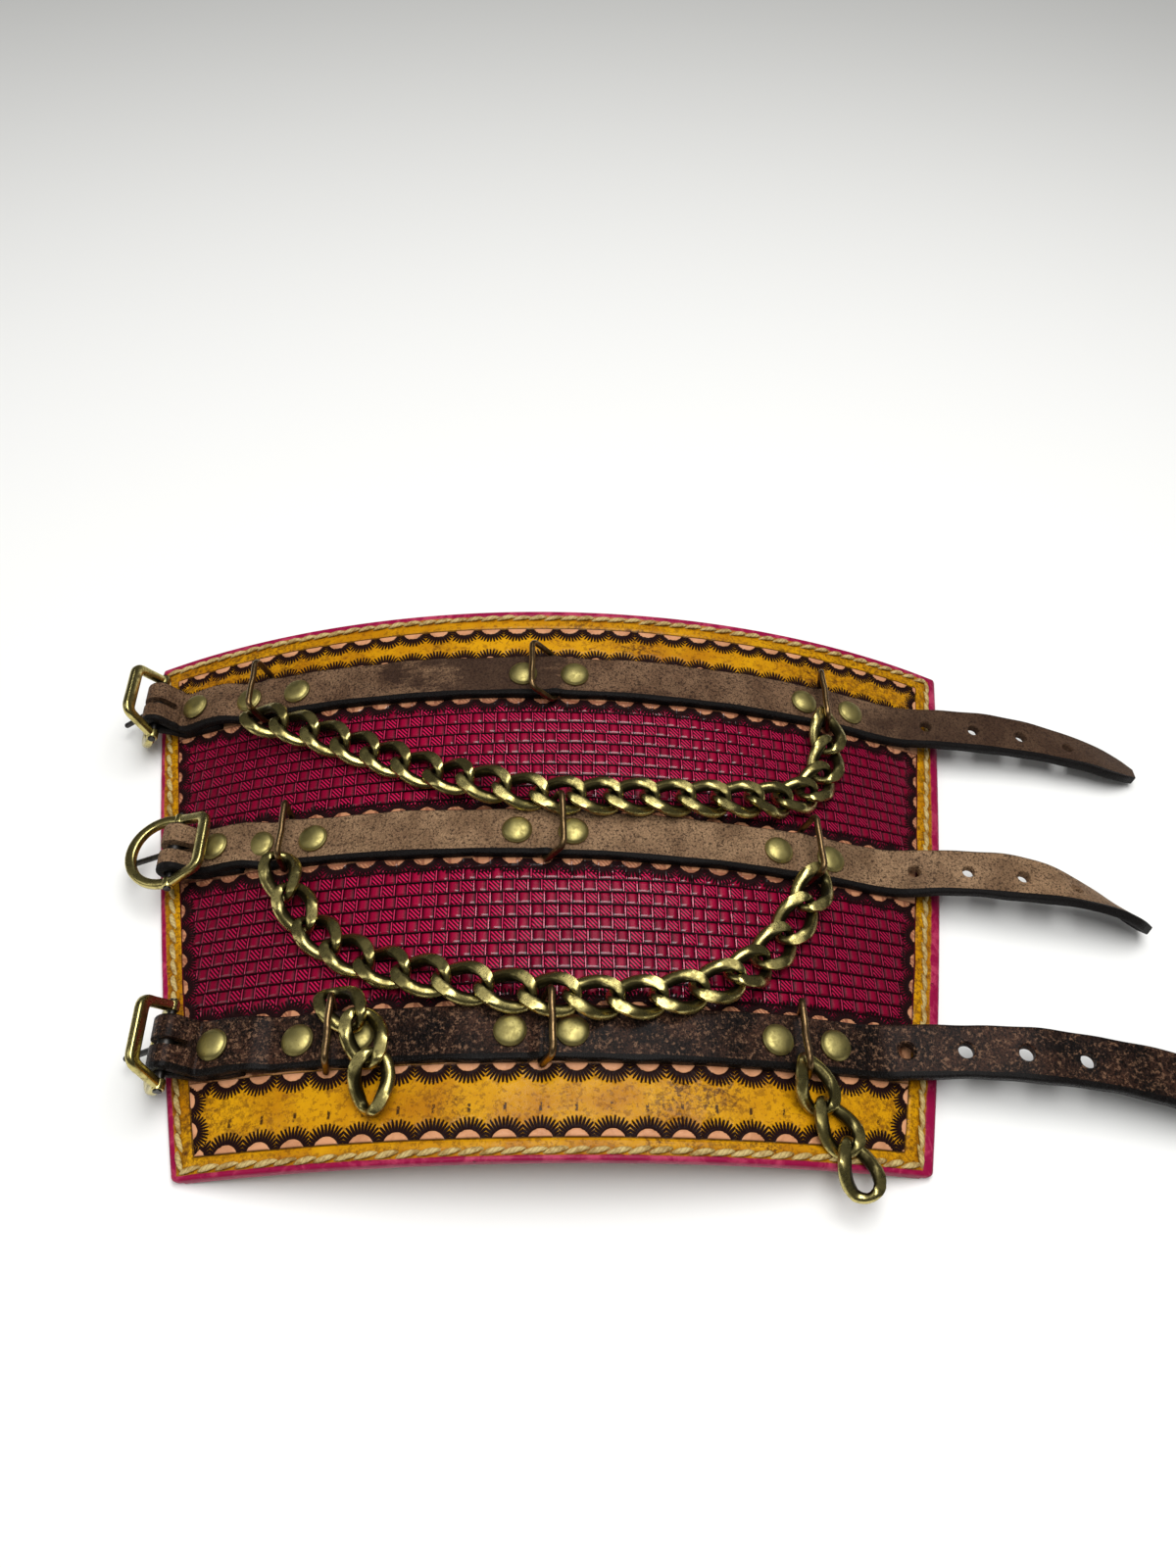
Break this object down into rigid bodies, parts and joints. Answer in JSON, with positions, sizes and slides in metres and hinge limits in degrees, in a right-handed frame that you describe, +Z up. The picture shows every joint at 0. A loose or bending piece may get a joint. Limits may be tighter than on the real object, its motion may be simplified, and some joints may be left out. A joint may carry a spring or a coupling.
{
  "type": "leather bracer",
  "caption": "Curved tooled leather forearm bracer with a lining, three riveted buckle straps, nine wire rings, two draped curb chains and two dangling chain ends.",
  "frame": {"origin": "centre of the bounding box on the ground plane, under the arch", "axes": "+Z up, +Y from the wrist end towards the elbow end, +X towards the strap tails"},
  "size_m": [0.3465, 0.195, 0.0442],
  "materials": {
    "lining": "smooth",
    "panel": "waxed",
    "strap_tan": "worn",
    "strap_dark": "waxed",
    "brass": "antique",
    "bronze": "darkened",
    "black_iron": "blackened"
  },
  "bodies": {
    "bracer": {"lining": "lining", "tooled_panel": "panel", "wrist_strap": "strap_dark", "middle_strap": "strap_tan", "elbow_strap": "strap_tan", "wrist_rivet_caps": "brass", "middle_rivet_caps": "brass", "elbow_rivet_caps": "brass", "wrist_rivet_posts": "brass", "middle_rivet_posts": "brass", "elbow_rivet_posts": "brass"},
    "wrist_buckle": {"wrist_buckle_frame": "brass", "wrist_buckle_bar": "black_iron"},
    "wrist_prong": {"wrist_buckle_prong": "black_iron"},
    "middle_buckle": {"middle_buckle_frame": "brass", "middle_buckle_bar": "black_iron"},
    "middle_prong": {"middle_buckle_prong": "black_iron"},
    "elbow_buckle": {"elbow_buckle_frame": "brass", "elbow_buckle_bar": "black_iron"},
    "elbow_prong": {"elbow_buckle_prong": "black_iron"},
    "wrist_left_ring": {"wrist_ring_left": "bronze"},
    "wrist_centre_ring": {"wrist_ring_centre": "bronze"},
    "wrist_right_ring": {"wrist_ring_right": "bronze"},
    "middle_left_ring": {"middle_ring_left": "bronze"},
    "middle_centre_ring": {"middle_ring_centre": "bronze"},
    "middle_right_ring": {"middle_ring_right": "bronze"},
    "elbow_left_ring": {"elbow_ring_left": "bronze"},
    "elbow_centre_ring": {"elbow_ring_centre": "bronze"},
    "elbow_right_ring": {"elbow_ring_right": "bronze"},
    "elbow_chain_left_span": {"elbow_chain_left": "brass"},
    "elbow_chain_right_span": {"elbow_chain_right": "brass"},
    "middle_chain_left_span": {"middle_chain_left": "brass"},
    "middle_chain_right_span": {"middle_chain_right": "brass"},
    "left_link_1": {"left_dangle_1": "brass"},
    "left_link_2": {"left_dangle_2": "brass"},
    "left_link_3": {"left_dangle_3": "brass"},
    "right_link_1": {"right_dangle_1": "brass"},
    "right_link_2": {"right_dangle_2": "brass"},
    "right_link_3": {"right_dangle_3": "brass"}
  },
  "joints": [
    {"name": "wrist_buckle_turn", "type": "hinge", "parent": "bracer", "child": "wrist_buckle", "pos_m": [-0.13273, -0.05495, 0.01416], "axis": [0, 0.9957, 0.0926], "range_deg": [0, 62]},
    {"name": "wrist_prong_turn", "type": "hinge", "parent": "wrist_buckle", "child": "wrist_prong", "pos_m": [-0.13273, -0.05495, 0.01416], "axis": [0, 0.9957, 0.0926], "range_deg": [-10, 80]},
    {"name": "middle_buckle_turn", "type": "hinge", "parent": "bracer", "child": "middle_buckle", "pos_m": [-0.14316, 0.00979, 0.01364], "axis": [0, 0.9957, 0.0926], "range_deg": [-20, 0]},
    {"name": "middle_prong_turn", "type": "hinge", "parent": "middle_buckle", "child": "middle_prong", "pos_m": [-0.14316, 0.00979, 0.01364], "axis": [0, 0.9957, 0.0926], "range_deg": [-3, 8]},
    {"name": "elbow_buckle_turn", "type": "hinge", "parent": "bracer", "child": "elbow_buckle", "pos_m": [-0.15934, 0.06786, 0.01497], "axis": [0, 0.9957, 0.0926], "range_deg": [0, 62]},
    {"name": "elbow_prong_turn", "type": "hinge", "parent": "elbow_buckle", "child": "elbow_prong", "pos_m": [-0.15934, 0.06786, 0.01497], "axis": [0, 0.9957, 0.0926], "range_deg": [-10, 80]},
    {"name": "wrist_left_ring_lean", "type": "hinge", "parent": "bracer", "child": "wrist_left_ring", "pos_m": [-0.08828, -0.05551, 0.01758], "axis": [0, 0.9957, 0.0926], "range_deg": [-3, 3]},
    {"name": "wrist_centre_ring_lean", "type": "hinge", "parent": "bracer", "child": "wrist_centre_ring", "pos_m": [-0.03159, -0.05654, 0.02377], "axis": [0, 0.9957, 0.0926], "range_deg": [-3, 3]},
    {"name": "wrist_right_ring_lean", "type": "hinge", "parent": "bracer", "child": "wrist_right_ring", "pos_m": [0.04036, -0.0564, 0.01613], "axis": [0, 0.9957, 0.0926], "range_deg": [0, 3]},
    {"name": "middle_left_ring_lean", "type": "hinge", "parent": "bracer", "child": "middle_left_ring", "pos_m": [-0.10765, 0.00867, 0.01883], "axis": [0, 0.9957, 0.0926], "range_deg": [-3, 3]},
    {"name": "middle_centre_ring_lean", "type": "hinge", "parent": "bracer", "child": "middle_centre_ring", "pos_m": [-0.03068, 0.00536, 0.02953], "axis": [0, 0.9957, 0.0926], "range_deg": [-3, 3]},
    {"name": "middle_right_ring_lean", "type": "hinge", "parent": "bracer", "child": "middle_right_ring", "pos_m": [0.04739, 0.00391, 0.02003], "axis": [0, 0.9957, 0.0926], "range_deg": [-2, 3]},
    {"name": "elbow_left_ring_lean", "type": "hinge", "parent": "bracer", "child": "elbow_left_ring", "pos_m": [-0.1214, 0.067, 0.02006], "axis": [0, 0.9957, 0.0926], "range_deg": [-3, 3]},
    {"name": "elbow_centre_ring_lean", "type": "hinge", "parent": "bracer", "child": "elbow_centre_ring", "pos_m": [-0.02767, 0.06411, 0.03502], "axis": [0, 0.9957, 0.0926], "range_deg": [-10, 98]},
    {"name": "elbow_right_ring_lean", "type": "hinge", "parent": "bracer", "child": "elbow_right_ring", "pos_m": [0.06284, 0.06395, 0.02121], "axis": [0, 0.9957, 0.0926], "range_deg": [-3, 3]},
    {"name": "elbow_chain_left_lift", "type": "hinge", "parent": "bracer", "child": "elbow_chain_left_span", "pos_m": [-0.12363, 0.05729, 0.02408], "axis": [-0.9065, 0.4077, -0.1102], "range_deg": [0, 8]},
    {"name": "elbow_chain_right_lift", "type": "hinge", "parent": "bracer", "child": "elbow_chain_right_span", "pos_m": [0.06161, 0.05413, 0.02629], "axis": [-0.9083, -0.407, 0.0961], "range_deg": [0, 10]},
    {"name": "middle_chain_left_lift", "type": "hinge", "parent": "bracer", "child": "middle_chain_left_span", "pos_m": [-0.10794, -0.0011, 0.02342], "axis": [-0.8555, 0.5128, -0.072], "range_deg": [0, 10]},
    {"name": "middle_chain_right_lift", "type": "hinge", "parent": "bracer", "child": "middle_chain_right_span", "pos_m": [0.04928, -0.00582, 0.02418], "axis": [-0.8822, -0.4664, 0.0644], "range_deg": [0, 10]},
    {"name": "left_link_1_swing", "type": "hinge", "parent": "bracer", "child": "left_link_1", "pos_m": [-0.08781, -0.04676, 0.02397], "axis": [-0.613, -0.7794, -0.1297], "range_deg": [0, 12]},
    {"name": "left_link_2_swing", "type": "hinge", "parent": "left_link_1", "child": "left_link_2", "pos_m": [-0.08019, -0.05324, 0.02676], "axis": [-0.9139, -0.3713, -0.1644], "range_deg": [0, 20]},
    {"name": "left_link_3_swing", "type": "hinge", "parent": "left_link_2", "child": "left_link_3", "pos_m": [-0.07552, -0.06409, 0.02531], "axis": [-0.9829, 0.0898, -0.1608], "range_deg": [0, 25]},
    {"name": "right_link_1_swing", "type": "hinge", "parent": "bracer", "child": "right_link_1", "pos_m": [0.03948, -0.06619, 0.02093], "axis": [-0.8031, -0.5682, 0.1794], "range_deg": [0, 15]},
    {"name": "right_link_2_swing", "type": "hinge", "parent": "right_link_1", "child": "right_link_2", "pos_m": [0.0436, -0.07369, 0.01561], "axis": [-0.8452, -0.4937, 0.2049], "range_deg": [0, 20]},
    {"name": "right_link_3_swing", "type": "hinge", "parent": "right_link_2", "child": "right_link_3", "pos_m": [0.04903, -0.08394, 0.0133], "axis": [-0.8922, -0.3863, 0.234], "range_deg": [0, 25]}
  ]
}
